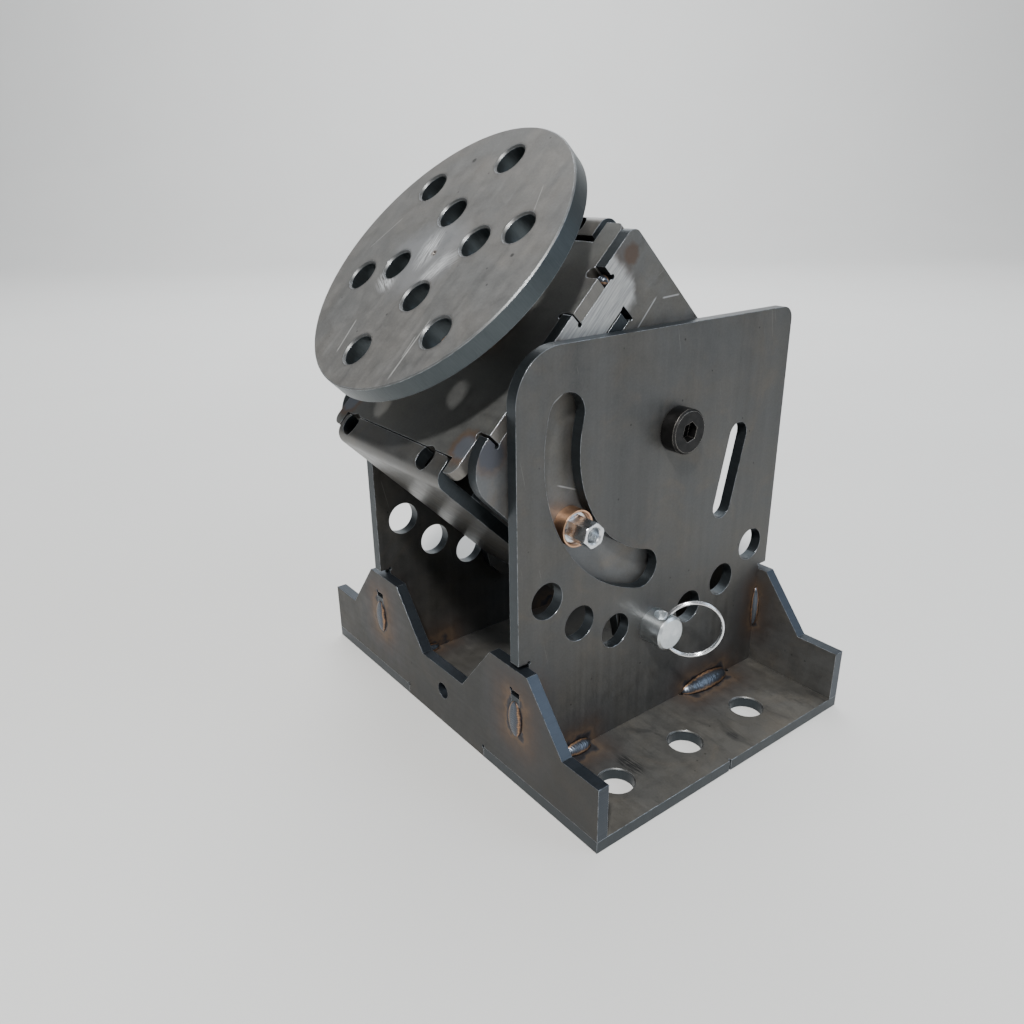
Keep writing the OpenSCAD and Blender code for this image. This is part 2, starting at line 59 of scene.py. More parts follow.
# ---------------------------------------------------------------- node graphs
class Graph:
    """A material's node tree, written as plain expressions. Lengths in mm."""

    def __init__(self, name):
        self.mat = bpy.data.materials.new(name)
        self.mat.use_nodes = True
        self.tree = self.mat.node_tree
        self.tree.nodes.clear()
        self.out = self.add("ShaderNodeOutputMaterial")
        self.bsdf = self.add("ShaderNodeBsdfPrincipled")
        self.tree.links.new(self.bsdf.outputs[0], self.out.inputs[0])

    def add(self, kind, **props):
        node = self.tree.nodes.new(kind)
        for k, v in props.items():
            setattr(node, k, v)
        return node

    def put(self, socket, value):
        if isinstance(value, bpy.types.NodeSocket):
            self.tree.links.new(value, socket)
        elif value is not None:
            socket.default_value = value

    def math(self, op, a, b=None, clamp=False):
        node = self.add("ShaderNodeMath", operation=op, use_clamp=clamp)
        self.put(node.inputs[0], a)
        self.put(node.inputs[1], b)
        return node.outputs[0]

    def vec(self, op, a, b=None):
        node = self.add("ShaderNodeVectorMath", operation=op)
        self.put(node.inputs[0], a)
        self.put(node.inputs[1], b)
        scalar = op in ("DOT_PRODUCT", "LENGTH", "DISTANCE")
        return node.outputs["Value" if scalar else "Vector"]

    def scale(self, a, k):
        node = self.add("ShaderNodeVectorMath", operation="SCALE")
        self.put(node.inputs[0], a)
        self.put(node.inputs["Scale"], k)
        return node.outputs[0]

    def join(self, x, y, z):
        node = self.add("ShaderNodeCombineXYZ")
        for i, v in enumerate((x, y, z)):
            self.put(node.inputs[i], v)
        return node.outputs[0]

    def mix(self, fac, a, b, blend="MIX"):
        node = self.add("ShaderNodeMix", data_type="RGBA", blend_type=blend)
        self.put(node.inputs[0], fac)
        for i, v in ((6, a), (7, b)):
            self.put(node.inputs[i], v if isinstance(v, bpy.types.NodeSocket)
                     else (*v, 1.0))
        return node.outputs[2]

    def lerp(self, fac, a, b):
        node = self.add("ShaderNodeMix", data_type="FLOAT")
        self.put(node.inputs[0], fac)
        self.put(node.inputs[2], a)
        self.put(node.inputs[3], b)
        return node.outputs[0]

    def span(self, value, a, b, c=0.0, d=1.0, smooth=True):
        node = self.add("ShaderNodeMapRange")
        node.interpolation_type = "SMOOTHSTEP" if smooth else "LINEAR"
        self.put(node.inputs[0], value)
        for i, v in enumerate((a, b, c, d)):
            self.put(node.inputs[i + 1], v)
        return node.outputs[0]

    def noise(self, where, size, detail=3.0, rough=0.55, bend=0.0):
        """Noise of features about size mm across, round 0.5."""
        node = self.add("ShaderNodeTexNoise")
        self.put(node.inputs["Vector"], where)
        self.put(node.inputs["Scale"], 1.0 / size)
        self.put(node.inputs["Detail"], detail)
        self.put(node.inputs["Roughness"], rough)
        self.put(node.inputs["Distortion"], bend)
        return node.outputs["Fac"]

    def ramp(self, fac, stops):
        node = self.add("ShaderNodeValToRGB")
        self.put(node.inputs[0], fac)
        el = node.color_ramp.elements
        while len(el) < len(stops):
            el.new(0.5)
        for e, (pos, col) in zip(el, stops):
            e.position = pos
            e.color = col
        return node.outputs[0], node.outputs[1]

    def coords(self, along, across, normal, seed=0.0):
        """Rest-pose place in mm, in a plate's own directions."""
        tc = self.add("ShaderNodeTexCoord")
        p = self.scale(tc.outputs["Object"], 1000.0)
        u = self.vec("DOT_PRODUCT", p, across)
        v = self.vec("DOT_PRODUCT", p, along)
        w = self.vec("DOT_PRODUCT", p, normal)
        self.place = p
        self.normal = tc.outputs["Normal"]
        self.u, self.v, self.w = u, v, w
        self.seed = seed
        self.uvw = self.vec("ADD", self.join(u, v, w),
                            (seed * 97.0, seed * 31.0, seed * 53.0))
        return self.uvw

    def red(self, color):
        """The first channel of a colour."""
        sep = self.add("ShaderNodeSeparateColor")
        self.put(sep.inputs[0], color)
        return sep.outputs[0]

    def local(self):
        """Place in the cradle's own x, V, N, in mm from the tilt axis."""
        p = self.vec("SUBTRACT", self.place, PIVOT)
        return self.join(self.vec("DOT_PRODUCT", p, X),
                         self.vec("DOT_PRODUCT", p, V),
                         self.vec("DOT_PRODUCT", p, N))

    def arris(self, radius, lo=0.004, hi=0.10):
        """1 along sharp edges, 0 on the flats; and the rounded normal."""
        bevel = self.add("ShaderNodeBevel", samples=4)
        self.put(bevel.inputs["Radius"], radius * MM)
        geo = self.add("ShaderNodeNewGeometry")
        dot = self.vec("DOT_PRODUCT", bevel.outputs[0], geo.outputs["Normal"])
        off = self.math("SUBTRACT", 1.0, dot)
        return self.span(off, lo, hi), bevel.outputs[0]

    def bump(self, height, strength, dist, normal=None):
        node = self.add("ShaderNodeBump")
        self.put(node.inputs["Strength"], strength)
        self.put(node.inputs["Distance"], dist * MM)
        self.put(node.inputs["Height"], height)
        self.put(node.inputs["Normal"], normal)
        return node.outputs[0]

    def finish(self, color, rough, normal, metallic):
        b = self.bsdf.inputs
        self.put(b["Base Color"], color)
        self.put(b["Roughness"], rough)
        self.put(b["Metallic"], metallic)
        self.put(b["Normal"], normal)
        return self.mat


# ---------------------------------------------------------------- steel plate
def halo_distance(g, where, halos):
    """Distance in mm from the nearest weld; a halo is a centre and the
    half length of the weld along each axis."""
    best = None
    for centre, half in halos:
        d = g.vec("ABSOLUTE", g.vec("SUBTRACT", where, centre))
        d = g.vec("MAXIMUM", g.vec("SUBTRACT", d, half), (0.0, 0.0, 0.0))
        d = g.vec("LENGTH", d)
        best = d if best is None else g.math("MINIMUM", best, d)
    return best


def heat_tint(g, color, dist, reach):
    """Dark, straw and brown bands beside a weld, fading over 24 mm."""
    wob = g.noise(g.uvw, 6.0, 2.0)
    d = g.math("ADD", dist, g.math("MULTIPLY", g.math("SUBTRACT", wob, 0.5),
                                   9.0 * reach))
    d = g.math("DIVIDE", d, 24.0 * reach, clamp=True)
    tint, alpha = g.ramp(d, [
        (0.00, (0.030, 0.030, 0.036, 0.85)),
        (0.05, (0.050, 0.048, 0.058, 0.75)),
        (0.12, (0.185, 0.120, 0.075, 0.60)),
        (0.24, (0.115, 0.080, 0.062, 0.60)),
        (0.45, (0.090, 0.072, 0.068, 0.42)),
        (0.72, (0.085, 0.085, 0.092, 0.20)),
        (1.00, (0.085, 0.085, 0.085, 0.0))])
    return g.mix(alpha, color, tint)


# cool, warm, tan: the scale's colours; tone, cut_tone: how dark the faces and
# the cut edges are; formed: a bent plate's second face direction; local: the
# halos are in the cradle's x, V, N
def plate(name, along, across, normal, seed, cool=(0.150, 0.152, 0.150),
          warm=(0.165, 0.158, 0.145), tan=(0.23, 0.20, 0.165), tan_amount=0.5,
          edge=(0.085, 0.100, 0.112), rough=0.50, streaks=1.0, halos=(),
          local=False, halo_reach=1.0, extra=None, formed=None, smudge=0.0,
          tone=0.53, cut_tone=0.45, arris_highlight=(0.38, 0.41, 0.45)):
    g = Graph(name)
    q = g.coords(along, across, normal, seed)
    cloud = g.span(g.noise(q, 46.0, 4.0, 0.6, 0.6), 0.36, 0.66)
    rust = g.span(g.noise(g.vec("ADD", q, (300, 50, 9)), 30.0, 5.0, 0.62, 0.8),
                  0.50, 0.76)
    grain = g.noise(q, 1.1, 3.0, 0.65)
    mottle = g.noise(g.vec("ADD", q, (71, 9, 33)), 8.0, 4.0, 0.6, 0.3)
    lines = g.noise(g.join(g.math("MULTIPLY", g.u, 1 / 3.2),
                           g.math("MULTIPLY", g.v, 1 / 190.0), seed), 1.0,
                    3.0, 0.6)
    broad = g.noise(g.join(g.math("MULTIPLY", g.u, 1 / 17.0),
                           g.math("MULTIPLY", g.v, 1 / 260.0), seed + 4.0),
                    1.0, 2.0, 0.5)
    color = g.mix(cloud, cool, warm)
    color = g.mix(g.math("MULTIPLY", rust, tan_amount), color, tan)
    shade = g.math("ADD", g.math("MULTIPLY", g.math("SUBTRACT", mottle, 0.5),
                                 0.42),
                   g.math("MULTIPLY", g.math("SUBTRACT", grain, 0.5), 0.34))
    lined = g.math("ADD", g.math("MULTIPLY", g.math("SUBTRACT", lines, 0.5),
                                 0.30 * streaks),
                   g.math("MULTIPLY", g.math("SUBTRACT", broad, 0.5),
                          0.36 * streaks))
    shade = g.math("ADD", g.math("ADD", shade, lined), 1.0)
    color = g.mix(1.0, color, g.join(shade, shade, shade), "MULTIPLY")
    # dark specks of scale and short fine scratches
    cells = g.add("ShaderNodeTexVoronoi", feature="F1")
    g.put(cells.inputs["Vector"], q)
    g.put(cells.inputs["Scale"], 1 / 7.0)
    keep = g.span(g.red(cells.outputs["Color"]), 0.80, 0.84)
    dot = g.math("MULTIPLY", g.span(cells.outputs["Distance"], 0.055, 0.11,
                                    1.0, 0.0), keep)
    color = g.mix(g.math("MULTIPLY", dot, 0.65), color, (0.045, 0.043, 0.042))
    hair = g.noise(g.join(g.math("ADD", g.math("MULTIPLY", g.u, 1.5),
                                 g.math("MULTIPLY", g.v, 0.32)),
                          g.math("MULTIPLY", g.v, 0.020), seed + 9.0), 1.0,
                   1.0, 0.5)
    hair = g.math("MULTIPLY", g.span(hair, 0.735, 0.765),
                  g.span(g.noise(q, 23.0, 2.0), 0.5, 0.62))
    color = g.mix(g.math("MULTIPLY", hair, 0.50), color, (0.42, 0.41, 0.40))
    color = g.mix(1.0, color, (tone, tone, tone), "MULTIPLY")
    if smudge:
        dark = g.span(g.noise(g.vec("MULTIPLY", q, (1.0, 0.35, 1.0)), 15.0,
                              4.0, 0.65, 1.2), 0.54, 0.70)
        color = g.mix(g.math("MULTIPLY", dark, smudge), color,
                      (0.055, 0.055, 0.056))
    if halos:
        where = g.local() if local else g.place
        color = heat_tint(g, color, halo_distance(g, where, halos),
                          halo_reach)
    if extra:
        color = extra(g, color)
    # laser-cut edges, seen by their direction
    face = g.math("ABSOLUTE", g.vec("DOT_PRODUCT", g.normal, normal))
    if formed:
        face = g.math("MAXIMUM", face, g.math(
            "ABSOLUTE", g.vec("DOT_PRODUCT", g.normal, formed)))
        side = g.math("ABSOLUTE", g.vec("DOT_PRODUCT", g.normal, X))
        cut = g.span(side, 0.5, 0.8)
    else:
        cut = g.span(face, 0.55, 0.85, 1.0, 0.0)
    comb = g.noise(g.vec("MULTIPLY", q, (1.0, 1.0, 0.07)), 0.55, 3.0, 0.6)
    drag = g.noise(g.vec("MULTIPLY", q, (1.0, 1.0, 0.25)), 5.0, 3.0, 0.6)
    cut_shade = g.math("ADD", 0.62, g.math(
        "ADD", g.math("MULTIPLY", comb, 0.45), g.math("MULTIPLY", drag, 0.35)))
    cut_shade = g.math("MULTIPLY", cut_shade, cut_tone)
    cut_color = g.mix(1.0, edge, g.join(cut_shade, cut_shade, cut_shade),
                      "MULTIPLY")
    color = g.mix(cut, color, cut_color)
    # painted highlight: a pale blue-grey line along the sharp edges, standing
    # in for the light they catch and the sky they reflect
    line, soft = g.arris(0.45)
    line = g.math("MULTIPLY", line, g.span(g.noise(q, 4.0, 3.0), 0.30, 0.60))
    color = g.mix(g.math("MULTIPLY", line, 0.80), color, arris_highlight)
    r = g.math("ADD", rough, g.math(
        "MULTIPLY", g.math("SUBTRACT", mottle, 0.5), 0.30))
    r = g.math("ADD", r, g.math(
        "MULTIPLY", g.math("SUBTRACT", lines, 0.5), 0.20))
    r = g.lerp(cut, r, g.math("ADD", 0.30, g.math("MULTIPLY", comb, 0.16)))
    r = g.lerp(line, r, 0.28)
    height = g.math("ADD", g.math("MULTIPLY", grain, 0.5),
                    g.math("MULTIPLY", mottle, 0.8))
    height = g.lerp(cut, height, g.math("MULTIPLY", comb, 1.6))
    normal_out = g.bump(height, 0.35, 0.10, soft)
    return g.finish(color, r, normal_out, 0.82)


def face_hole(i, j):
    """Centre of a faceplate hole in x, V; i and j count half pitches."""
    c, t = math.cos(FACE_TURN), math.sin(FACE_TURN)
    return (HALF_PITCH * (c * i - t * j),
            HALF_PITCH * (t * i + c * j) - SPIN_OFF)


FACE_HOLES = [face_hole(i, j) for i, j in (
    (1, 0), (0, 1), (-1, 0), (0, -1), (2, 0), (-2, 0), (1, 2), (-1, 2),
    (-1, -2), (1, -2))]
# centre and half size of each weld, for the heat tint beside it
FOOT = [((s * 71.0, y, 8.0), (5.0, h, 3.5))
        for s in (-1, 1) for y, h in ((-56.0, 8.0), (44.5, 16.0))]
INNER = [((s * IN_X, y, PLATE_TOP), (0.0, 8.0, 0.0))
         for s in (-1, 1) for y in (-66.0, 60.0)]
UPRIGHT_ENDS = [((s * OUT_X, 87.35, 43.0), (0.0, 0.0, 11.0)) for s in (-1, 1)]
UPRIGHT_ENDS += [((s * IN_X, -87.35, 40.0), (0.0, 0.0, 10.0)) for s in (-1, 1)]
PLUGS = [((sx * UPRIGHT_X, sy * END_Y, 41.0), (3.5, 0.0, 8.5))
         for sx in (-1, 1) for sy in (-1, 1)]
CRADLE_WELDS = [((s * 60.0, 22.2, 82.0), (2.0, 2.0, 1.0)) for s in (-1, 1)]
CRADLE_WELDS += [((s * 56.0, -20.0, 82.0), (0.0, 11.0, 0.0)) for s in (-1, 1)]


def spot(g, color, at, centre, radius, tint, amount):
    """One soft-edged spot; at, centre and radius are in mm."""
    d = g.vec("DISTANCE", at, centre)
    d = g.math("ADD", d, g.math("MULTIPLY", g.math(
        "SUBTRACT", g.noise(g.uvw, 3.0, 3.0), 0.5), 0.5 * radius))
    on = g.span(d, 0.60 * radius, 1.10 * radius, 1.0, 0.0)
    return g.mix(g.math("MULTIPLY", on, amount), color, tint)


def scratch(g, color, at, a, b, width, tint, amount):
    """A straight scratch from a to b, both in mm in the plane of at."""
    a, b = Vector((*a, 0.0)), Vector((*b, 0.0))
    mid, half = (a + b) / 2, (b - a).length / 2
    run = (b - a).normalized()
    d = g.vec("SUBTRACT", at, tuple(mid))
    s = g.math("ABSOLUTE", g.vec("DOT_PRODUCT", d, tuple(run)))
    t = g.math("ABSOLUTE", g.vec("DOT_PRODUCT", d, (-run.y, run.x, 0.0)))
    on = g.math("MULTIPLY", g.span(t, 0.5 * width, width, 1.0, 0.0),
                g.span(s, 0.75 * half, half, 1.0, 0.0))
    return g.mix(g.math("MULTIPLY", on, amount), color, tint)


def sanded(g, color):
    """Ground patch behind the rear tab, scratches and heat spots."""
    p = g.local()
    flat = g.vec("MULTIPLY", p, (0.0, 1.0, 1.0))
    sep = g.add("ShaderNodeSeparateXYZ")
    g.put(sep.inputs[0], p)
    v, n = sep.outputs[1], sep.outputs[2]
    wob = g.math("MULTIPLY", g.math("SUBTRACT", g.noise(g.uvw, 9.0, 3.0), 0.5),
                 9.0)
    # inside when every one of these is positive
    sides = [g.math("SUBTRACT", 35.5, v), g.math("SUBTRACT", n, 61.5),
             g.math("ADD", v, 16.0),
             g.math("SUBTRACT", g.math("SUBTRACT", n, g.math(
                 "MULTIPLY", g.math("SUBTRACT", v, 28.0), 1.28)), 62.0)]
    inside = None
    for side in sides:
        inside = side if inside is None else g.math("MINIMUM", inside, side)
    near = g.span(g.math("ADD", inside, wob), -1.0, 6.0)
    brush = g.noise(g.vec("MULTIPLY", g.uvw, (1.0, 0.06, 1.0)), 0.8, 3.0)
    bright = g.mix(g.span(brush, 0.25, 0.75), (0.30, 0.305, 0.31),
                   (0.54, 0.54, 0.53))
    color = g.mix(g.math("MULTIPLY", near, 0.85), color, bright)
    flat2 = g.join(v, n, 0.0)
    for a, b in (((38.3, 53.3), (19.2, 52.1)), ((39.9, 49.9), (49.1, 41.7)),
                 ((-40.0, 70.0), (-12.0, 64.0)),
                 ((-62.0, 40.0), (-50.0, 12.0))):
        color = scratch(g, color, flat2, a, b, 0.5, (0.42, 0.42, 0.42), 0.7)
    color = spot(g, color, flat, (0.0, 40.0, 80.0), 5.5, (0.095, 0.058, 0.038),
                 0.65)
    color = spot(g, color, flat, (0.0, -72.0, 82.0), 11.0, (0.12, 0.080, 0.06),
                 0.55)
    return spot(g, color, flat, (0.0, -72.0, 82.0), 8.5, (0.072, 0.080, 0.098),
                0.85)


def top_marks(g, color):
    """Straw and blue heat spots over the front corners of the top plate."""
    p = g.local()
    p = g.join(g.vec("DOT_PRODUCT", g.vec("ABSOLUTE", p), X),
               g.vec("DOT_PRODUCT", p, Y), 0.0)
    color = spot(g, color, p, (52.0, -75.0, 0.0), 10.0, (0.17, 0.10, 0.06),
                 0.7)
    return spot(g, color, p, (52.0, -75.0, 0.0), 7.0, (0.135, 0.160, 0.195),
                0.8)


def base_marks(g, color):
    """Dark brush strokes and rubbed marks on the base plate."""
    sep = g.add("ShaderNodeSeparateXYZ")
    g.put(sep.inputs[0], g.place)
    flat = g.join(sep.outputs[0], sep.outputs[1], 0.0)
    for cx, cy, sx, sy, amt in (
            (97.0, -43.0, 10.0, 5.5, 0.85), (114.0, 17.5, 4.0, 3.0, 0.7),
            (-98.0, -30.0, 9.0, 5.0, 0.6), (30.0, 40.0, 12.0, 6.0, 0.5)):
        d = g.vec("SUBTRACT", flat, (cx, cy, 0.0))
        r2 = g.vec("LENGTH", g.vec("MULTIPLY", d, (1 / sx, 1 / sy, 0.0)))
        st = g.noise(g.vec("MULTIPLY", flat, (0.12, 1.3, 1.0)), 1.0, 3.0, 0.65)
        on = g.math("MULTIPLY", g.span(r2, 0.55, 1.15, 1.0, 0.0),
                    g.span(st, 0.38, 0.56))
        color = g.mix(g.math("MULTIPLY", on, amt), color,
                      (0.030, 0.031, 0.033))
    return color


def face_marks(g, color):
    """Sanding swirls, scratches, painted shade round the holes and the punch
    mark of the disc.
    """
    sep = g.add("ShaderNodeSeparateXYZ")
    g.put(sep.inputs[0], g.local())
    flat = g.join(sep.outputs[0], sep.outputs[1], 0.0)
    # hazy ground patch round the centre
    d = g.vec("SUBTRACT", flat, (-4.0, -7.0, 0.0))
    far = g.vec("LENGTH", g.vec("MULTIPLY", d, (0.86, 1.0, 1.0)))
    far = g.math("ADD", far, g.math("MULTIPLY", g.math(
        "SUBTRACT", g.noise(flat, 17.0, 3.0), 0.5), 26.0))
    haze = g.span(far, 12.0, 30.0, 1.0, 0.0)
    color = g.mix(g.math("MULTIPLY", haze, 0.45), color, (0.37, 0.38, 0.40))
    # brushed streaks: centre, span along and across, angle, strength
    for k, (cx, cy, sx, sy, ang, amt) in enumerate((
            (-6.0, -4.0, 15.0, 9.0, 98.0, 1.0),
            (9.0, -15.0, 15.0, 7.0, 70.0, 0.8),
            (-23.0, -24.0, 11.0, 8.0, 150.0, 0.9),
            (14.0, -9.0, 11.0, 8.0, 40.0, 0.5))):
        a = math.radians(ang)
        d = g.vec("SUBTRACT", flat, (cx, cy, 0.0))
        s = g.vec("DOT_PRODUCT", d, (math.cos(a), math.sin(a), 0.0))
        t = g.vec("DOT_PRODUCT", d, (-math.sin(a), math.cos(a), 0.0))
        r2 = g.vec("LENGTH", g.join(g.math("DIVIDE", s, sx),
                                    g.math("DIVIDE", t, sy), 0.0))
        zone = g.span(r2, 0.20, 1.0, 1.0, 0.0)
        st = g.noise(g.join(g.math("MULTIPLY", s, 0.09),
                            g.math("MULTIPLY", t, 1.1), 3.0 * k),
                     1.0, 4.0, 0.7)
        st = g.span(st, 0.40, 0.58)
        color = g.mix(g.math("MULTIPLY", g.math("MULTIPLY", zone, st), amt),
                      color, (0.78, 0.79, 0.80))
    for a, b, w, amt in (((32.0, -72.0), (32.2, -38.0), 0.55, 0.75),
                         ((-21.0, -67.0), (-24.1, -47.0), 0.50, 0.65),
                         ((31.0, -60.0), (30.2, -48.0), 0.40, 0.50),
                         ((-60.0, -8.0), (-48.0, 14.0), 0.35, 0.35),
                         ((44.0, 36.0), (52.0, 16.0), 0.35, 0.30)):
        color = scratch(g, color, flat, a, b, w, (0.62, 0.62, 0.60), amt)
    for at, r in (((-21.8, 50.3), 1.5), ((56.0, -2.0), 1.2),
                  ((50.0, 8.0), 1.0), ((10.0, 58.0), 1.0)):
        color = spot(g, color, flat, (*at, 0.0), r, (0.03, 0.03, 0.03), 0.7)
    # painted shade: darker rings round the ten holes, standing in for the
    # shade of their chamfers
    best = None
    for x, y in FACE_HOLES:
        d = g.vec("DISTANCE", flat, (x, y, 0.0))
        best = d if best is None else g.math("MINIMUM", best, d)
    best = g.math("ADD", best, g.math("MULTIPLY", g.math(
        "SUBTRACT", g.noise(flat, 4.0, 3.0), 0.5), 1.6))
    color = g.mix(g.math("MULTIPLY", g.span(best, 8.2, 10.4, 1.0, 0.0), 0.62),
                  color, (0.072, 0.066, 0.062))
    # brown ring at the centre punch
    rr = g.vec("DISTANCE", flat, (0.0, -SPIN_OFF, 0.0))
    rr = g.math("ADD", rr, g.math("MULTIPLY", g.noise(flat, 2.0, 2.0), 1.2))
    return g.mix(g.math("MULTIPLY", g.span(rr, 1.3, 3.0, 1.0, 0.0), 0.85),
                 color, (0.13, 0.080, 0.045))


def assign(node, material):
    ob = nodes[node]
    ob.data.materials.clear()
    ob.data.materials.append(material)


base_mat = plate("scale_base", X, Y, Z, 1.0, cool=(0.175, 0.172, 0.162),
                 warm=(0.20, 0.19, 0.17), tan=(0.27, 0.235, 0.19),
                 halos=FOOT + INNER, smudge=0.5, rough=0.55, streaks=0.6,
                 tone=0.72, extra=base_marks)
front_mat = plate("scale_front", X, Z, Y, 2.0, halos=PLUGS, halo_reach=1.2,
                  warm=(0.172, 0.160, 0.145), streaks=0.7, tone=0.34,
                  edge=(0.080, 0.096, 0.118), cut_tone=0.50)
# painted light: the rear plate gets a much higher tone than the front plate of
# the same steel, standing in for light that the uprights keep off its inner
# face
rear_mat = plate("scale_rear", X, Z, Y, 3.0, halos=PLUGS + UPRIGHT_ENDS,
                 halo_reach=1.0, tone=0.85, edge=(0.080, 0.096, 0.118),
                 cut_tone=0.50)
right_mat = plate("scale_upright_r", Z, Y, X, 4.0,
                  halos=FOOT + INNER + UPRIGHT_ENDS, halo_reach=1.1,
                  cool=(0.162, 0.164, 0.163), warm=(0.175, 0.170, 0.160),
                  streaks=1.25)
left_mat = plate("scale_upright_l", Z, Y, X, 5.0,
                 halos=FOOT + INNER + UPRIGHT_ENDS, halo_reach=1.1,
                 streaks=1.2)
top_mat = plate("scale_cradle_top", X, V, N, 6.0, cool=(0.19, 0.195, 0.19),
                warm=(0.205, 0.205, 0.195), tan=(0.25, 0.235, 0.205),
                tan_amount=0.35, halos=CRADLE_WELDS, local=True,
                halo_reach=0.45,
                extra=top_marks, tone=0.66, edge=(0.21, 0.20, 0.185),
                cut_tone=0.85)
lower_mat = plate("scale_cradle_lower", X, V, N, 7.0)
side_r_mat = plate("scale_cradle_side_r", V, N, X, 8.0, halos=CRADLE_WELDS,
                   local=True, extra=sanded, cool=(0.18, 0.185, 0.19),
                   tone=0.74)
side_l_mat = plate("scale_cradle_side_l", V, N, X, 9.0, halos=CRADLE_WELDS,
                   local=True, extra=sanded)
nose_mat = plate("scale_nose", X, N, V, 10.0, formed=N, rough=0.36,
                 cool=(0.165, 0.168, 0.168), tone=0.66)
tail_mat = plate("scale_tail", X, N, V, 11.0, formed=N, rough=0.36)
for node, m in (("base_plate", base_mat), ("front_plate", front_mat),
                ("rear_plate", rear_mat), ("upright_right", right_mat),
                ("upright_left", left_mat), ("cradle_top_plate", top_mat),
                ("cradle_lower_plate", lower_mat),
                ("cradle_side_right", side_r_mat),
                ("cradle_side_left", side_l_mat),
                ("cradle_front_plate", nose_mat),
                ("cradle_rear_plate", tail_mat)):
    assign(node, m)

assign("faceplate", plate("scale_face", V, X, N, 12.0, extra=face_marks,
                          cool=(0.29, 0.29, 0.285), warm=(0.32, 0.31, 0.295),
                          tan=(0.30, 0.27, 0.235), tan_amount=0.3,
                          edge=(0.115, 0.135, 0.145), rough=0.50, streaks=0.8,
                          tone=0.70, cut_tone=0.52))
assign("hub_flange", plate("scale_hub", X, V, N, 13.0, streaks=0.5))


# ---------------------------------------------------------------- hardware
def metal(name, color, dark, rough, axis, seed, turned=0.0, metallic=1.0,
          rim_highlight=(0.8, 0.8, 0.8), arris=0.35):
    """Plated or machined metal: mottled colour, turning marks round axis, and
    a painted highlight along the sharp edges.
    """
    g = Graph(name)
    q = g.coords(*[d for d in (X, Y, Z) if d != axis][:2], axis, seed)
    cloud = g.noise(q, 6.0, 4.0, 0.6, 0.4)
    grain = g.noise(q, 0.35, 3.0, 0.6)
    mark = g.noise(g.vec("MULTIPLY", q, (0.05, 0.05, 1.0)), 0.30, 2.0)
    c = g.mix(g.span(cloud, 0.35, 0.68), dark, color)
    sh = g.math("ADD", 0.86, g.math("MULTIPLY", grain, 0.28))
    c = g.mix(1.0, c, g.join(sh, sh, sh), "MULTIPLY")
    # painted highlight: a pale colour laid along the sharp edges, as strong as
    # arris, standing in for the light they catch
    line, soft = g.arris(0.35)
    c = g.mix(g.math("MULTIPLY", line, arris), c, rim_highlight)
    r = g.math("ADD", rough - 0.07, g.math("MULTIPLY", cloud, 0.14))
    h = g.math("ADD", g.math("MULTIPLY", grain, 0.4),
               g.math("MULTIPLY", mark, turned))
    return g.finish(c, r, g.bump(h, 0.35, 0.04, soft), metallic)


zinc = metal("zinc_plate", (0.74, 0.76, 0.78), (0.60, 0.62, 0.64), 0.27, X,
             21.0, 1.2)
pin_mat = metal("zinc_pin", (0.70, 0.73, 0.75), (0.56, 0.60, 0.62), 0.33, X,
                22.0, 1.6)
wire = metal("zinc_wire", (0.86, 0.87, 0.88), (0.74, 0.75, 0.77), 0.20, Z,
             23.0)
copper = metal("bronze_sleeve", (0.70, 0.43, 0.27), (0.56, 0.33, 0.21), 0.36,
               X, 24.0, 1.0, rim_highlight=(0.85, 0.60, 0.42))
oxide = metal("black_oxide", (0.026, 0.025, 0.025), (0.015, 0.015, 0.015),
              0.42, X, 25.0, 0.8, 0.90, (0.40, 0.38, 0.35), 0.8)
for node, m in (("pivot_nuts", zinc), ("lock_studs", zinc),
                ("lock_washers", zinc), ("spindle_shaft", zinc),
                ("stop_collar", zinc), ("lock_post_left", zinc),
                ("lock_post_right", zinc), ("index_pin", pin_mat),
                ("pull_ring", wire), ("pivot_bushings", copper),
                ("pivot_washers", copper), ("lock_sleeves", copper),
                ("spindle_bushings", copper), ("thrust_washer", copper),
                ("pivot_screws", oxide), ("collar_screws", oxide)):
    assign(node, m)


# ---------------------------------------------------------------- weld beads
def bead_material():
    g = Graph("weld_bead")
    q = g.coords(X, Y, Z, 31.0)
    at = g.add("ShaderNodeAttribute", attribute_name="bead")
    sep = g.add("ShaderNodeSeparateColor")
    g.put(sep.inputs[0], at.outputs["Color"])
    across, ripple = sep.outputs[0], sep.outputs[1]
    wob = g.math("ADD", across, g.math("MULTIPLY", g.math(
        "SUBTRACT", g.noise(q, 2.2, 3.0), 0.5), 0.5))
    # across the bead: blue-grey centre and copper heat colour at the sides,
    # then painted shade darkening the groove at its toes
    c, _ = g.ramp(wob, [(0.00, (0.085, 0.098, 0.118, 1)),
                        (0.46, (0.070, 0.078, 0.095, 1)),
                        (0.62, (0.120, 0.095, 0.085, 1)),
                        (0.76, (0.320, 0.190, 0.105, 1)),
                        (0.88, (0.110, 0.075, 0.060, 1)),
                        (1.00, (0.030, 0.029, 0.033, 1))])
    slag = g.span(g.noise(g.vec("ADD", q, (5, 5, 5)), 1.4, 2.0), 0.64, 0.70)
    c = g.mix(g.math("MULTIPLY", slag, 0.7), c, (0.035, 0.032, 0.03))
    # painted shade and highlight: each ripple lighter towards its raised crest
    # and darker in its trough
    sh = g.math("ADD", 0.72, g.math("MULTIPLY", ripple, 0.55))
    c = g.mix(1.0, c, g.join(sh, sh, sh), "MULTIPLY")
    grain = g.noise(q, 0.5, 3.0, 0.6)
    r = g.math("ADD", 0.24, g.math("MULTIPLY", grain, 0.20))
    return g.finish(c, r, g.bump(grain, 0.4, 0.06), 0.9)


BEAD = bead_material()


